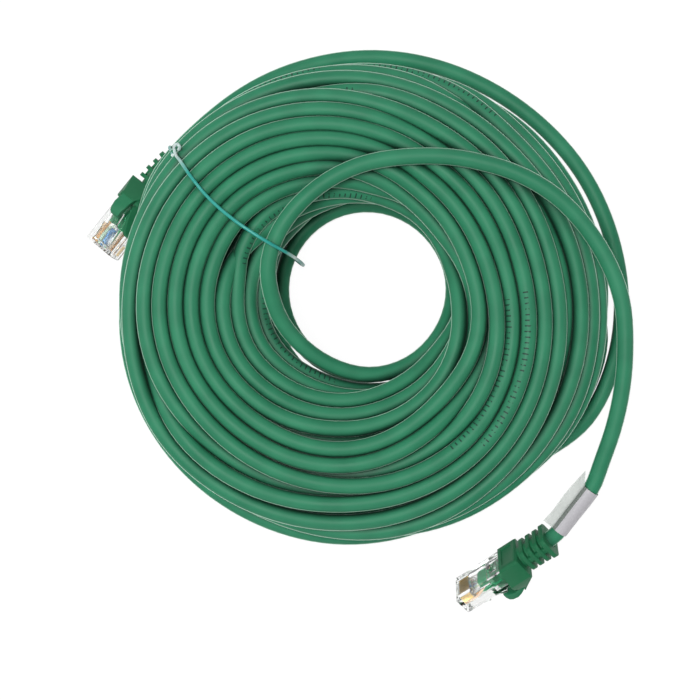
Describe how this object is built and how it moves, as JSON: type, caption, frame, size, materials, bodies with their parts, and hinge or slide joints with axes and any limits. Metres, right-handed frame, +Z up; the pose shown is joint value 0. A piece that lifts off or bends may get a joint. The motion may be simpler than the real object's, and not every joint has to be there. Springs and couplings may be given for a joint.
{
  "type": "ethernet patch cable",
  "caption": "Green twisted-pair network patch cable, wound in a round coil held by a wire tie, with a booted, latching modular plug on each end.",
  "frame": {"origin": "centre of the coil, on the table that it lies on", "axes": "+Z up off the table, along the axis of the coil; +X and +Y along the table"},
  "size_m": [0.1793, 0.1844, 0.0395],
  "materials": {
    "cable_jacket": "satin extruded PVC",
    "boot_vinyl": "satin moulded PVC",
    "hood_vinyl": "satin moulded PVC",
    "clear_housing": "clear moulded polycarbonate",
    "clear_latch": "clear moulded polycarbonate",
    "gold_contact": "gold-plated bronze",
    "copper": "bare drawn copper",
    "tie_coating": "plastic-coated wire",
    "label_film": "glossy printed film, printed face left bare",
    "wire_white_orange": "solid polyethylene insulation",
    "wire_orange": "solid polyethylene insulation",
    "wire_white_green": "solid polyethylene insulation",
    "wire_blue": "solid polyethylene insulation",
    "wire_white_blue": "solid polyethylene insulation",
    "wire_green": "solid polyethylene insulation",
    "wire_white_brown": "solid polyethylene insulation",
    "wire_brown": "solid polyethylene insulation"
  },
  "bodies": {
    "cable": {"coil": "cable_jacket", "lead_a": "cable_jacket", "lead_b": "cable_jacket", "tie": "tie_coating", "label": "label_film", "housing_a": "clear_housing", "crimp_bar_a": "clear_housing", "jacket_end_a": "cable_jacket", "boot_a": "boot_vinyl", "conductors_a": "copper", "housing_b": "clear_housing", "crimp_bar_b": "clear_housing", "jacket_end_b": "cable_jacket", "boot_b": "boot_vinyl", "conductors_b": "copper", "wire_a1": "wire_white_orange", "wire_a2": "wire_orange", "wire_a3": "wire_white_green", "wire_a4": "wire_blue", "wire_a5": "wire_white_blue", "wire_a6": "wire_green", "wire_a7": "wire_white_brown", "wire_a8": "wire_brown", "wire_b1": "wire_white_orange", "wire_b2": "wire_orange", "wire_b3": "wire_white_green", "wire_b4": "wire_blue", "wire_b5": "wire_white_blue", "wire_b6": "wire_green", "wire_b7": "wire_white_brown", "wire_b8": "wire_brown", "contact_a1": "gold_contact", "contact_a2": "gold_contact", "contact_a3": "gold_contact", "contact_a4": "gold_contact", "contact_a5": "gold_contact", "contact_a6": "gold_contact", "contact_a7": "gold_contact", "contact_a8": "gold_contact", "contact_b1": "gold_contact", "contact_b2": "gold_contact", "contact_b3": "gold_contact", "contact_b4": "gold_contact", "contact_b5": "gold_contact", "contact_b6": "gold_contact", "contact_b7": "gold_contact", "contact_b8": "gold_contact"},
    "latch_a": {"latch_a": "clear_latch"},
    "hood_a": {"hood_a": "hood_vinyl"},
    "latch_b": {"latch_b": "clear_latch"},
    "hood_b": {"hood_b": "hood_vinyl"}
  },
  "joints": [
    {"name": "hood_a_press", "type": "hinge", "parent": "cable", "child": "hood_a", "pos_m": [-0.08022, 0.03319, 0.01368], "axis": [0.7511, -0.6116, 0.2487], "range_deg": [0, 14], "stiffness_Nm_per_rad": 0.004},
    {"name": "latch_a_press", "type": "hinge", "parent": "cable", "child": "latch_a", "pos_m": [-0.09033, 0.0188, 0.00885], "axis": [-0.7511, 0.6116, -0.2487], "range_deg": [0, 10], "stiffness_Nm_per_rad": 0.004},
    {"name": "hood_b_press", "type": "hinge", "parent": "cable", "child": "hood_b", "pos_m": [0.05112, -0.09537, 0.00998], "axis": [0.0443, 0.4988, -0.8656], "range_deg": [0, 14], "stiffness_Nm_per_rad": 0.004},
    {"name": "latch_b_press", "type": "hinge", "parent": "cable", "child": "latch_b", "pos_m": [0.03475, -0.10195, 0.00535], "axis": [-0.0443, -0.4988, 0.8656], "range_deg": [0, 10], "stiffness_Nm_per_rad": 0.004}
  ],
  "couplings": [
    {"joint": "latch_a_press", "follows": "hood_a_press", "ratio": 0.7},
    {"joint": "latch_b_press", "follows": "hood_b_press", "ratio": 0.7}
  ]
}
